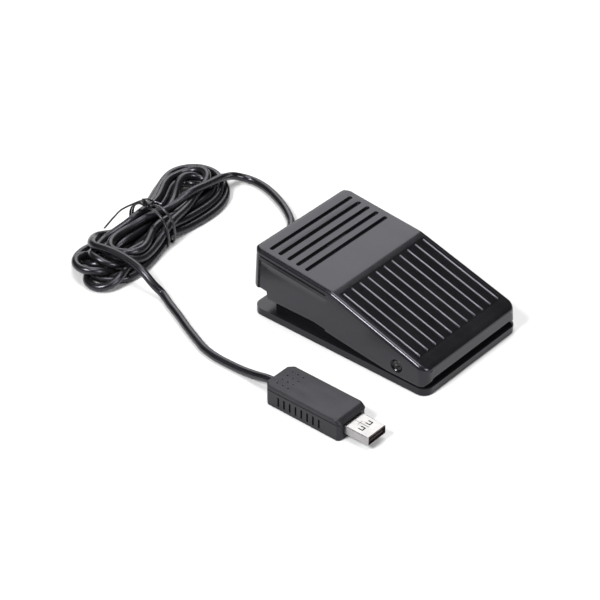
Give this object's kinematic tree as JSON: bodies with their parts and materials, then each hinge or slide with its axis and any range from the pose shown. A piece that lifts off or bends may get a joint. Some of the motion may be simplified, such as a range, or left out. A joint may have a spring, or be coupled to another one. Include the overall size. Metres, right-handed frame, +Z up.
{
  "type": "foot switch pedal",
  "caption": "Momentary foot switch: hinged wedge pedal on a flat base, return spring and snap-action switch inside, thin cord folded in a tied hank, USB plug with controller housing.",
  "frame": {"origin": "middle of the base plate's footprint, on the ground under its rubber feet", "axes": "+Z up; +Y along the base plate towards the high heel end where the cord leaves; +X across the pedal, parallel to its hinge"},
  "size_m": [0.1308, 0.2114, 0.0358],
  "materials": {
    "abs_black": "semi-gloss black moulded ABS",
    "abs_inner": "satin black moulded plastic",
    "rubber": "matt black rubber",
    "cord_jacket": "smooth black PVC jacket",
    "plug_plastic": "satin black moulded ABS",
    "steel": "nickel plated steel",
    "spring_steel": "drawn steel",
    "brass": "tinned brass",
    "switch_plastic": "dark grey moulded PBT",
    "switch_button": "red moulded plastic",
    "board": "green solder mask",
    "port_black": "black moulded nylon",
    "gold": "gold flash",
    "lead_red": "red PVC",
    "lead_white": "white PVC"
  },
  "bodies": {
    "base": {"base_plate": "abs_black", "hinge_screw_left": "steel", "hinge_screw_right": "steel", "microswitch_case": "switch_plastic", "terminal_common": "brass", "terminal_closed": "brass", "terminal_open": "brass", "switch_screw_1": "steel", "switch_screw_2": "steel", "return_spring": "spring_steel", "strain_relief": "rubber", "inner_cord_end": "cord_jacket", "cord_clamp": "abs_inner", "clamp_screw_1": "steel", "clamp_screw_2": "steel", "lead_common": "lead_red", "lead_open": "lead_white", "cord_to_hank": "cord_jacket", "cord_hank": "cord_jacket", "twist_tie": "plug_plastic", "cord_to_plug": "cord_jacket", "plug_lower_shell": "plug_plastic", "plug_upper_shell": "plug_plastic", "plug_grommet": "rubber", "controller_board": "board", "controller_chip": "abs_inner", "crystal": "steel", "usb_shell": "steel", "usb_tongue": "port_black", "rubber_foot_1": "rubber", "usb_contact_1": "gold", "rubber_foot_2": "rubber", "usb_contact_2": "gold", "rubber_foot_3": "rubber", "usb_contact_3": "gold", "rubber_foot_4": "rubber", "usb_contact_4": "gold"},
    "pedal": {"pedal_cover": "abs_black"},
    "switch_lever": {"microswitch_lever": "spring_steel"},
    "switch_plunger": {"microswitch_plunger": "switch_button"}
  },
  "joints": [
    {"name": "pedal_press", "type": "hinge", "parent": "base", "child": "pedal", "pos_m": [0, -0.0337, 0.0098], "axis": [-1, 0, 0], "range_deg": [0, 4], "stiffness_Nm_per_rad": 6, "springref_deg": -3.44, "deforming": ["return_spring"]},
    {"name": "lever_turn", "type": "hinge", "parent": "base", "child": "switch_lever", "pos_m": [0, 0.003, 0.0218], "axis": [-1, 0, 0], "range_deg": [0, 12.6]},
    {"name": "plunger_slide", "type": "slide", "parent": "base", "child": "switch_plunger", "axis": [0, 0, -1], "range_m": [0, 0.00101]}
  ],
  "couplings": [
    {"joint": "lever_turn", "follows": "pedal_press", "ratio": 3.125},
    {"joint": "plunger_slide", "follows": "pedal_press", "m_per_rad": 0.014324}
  ]
}
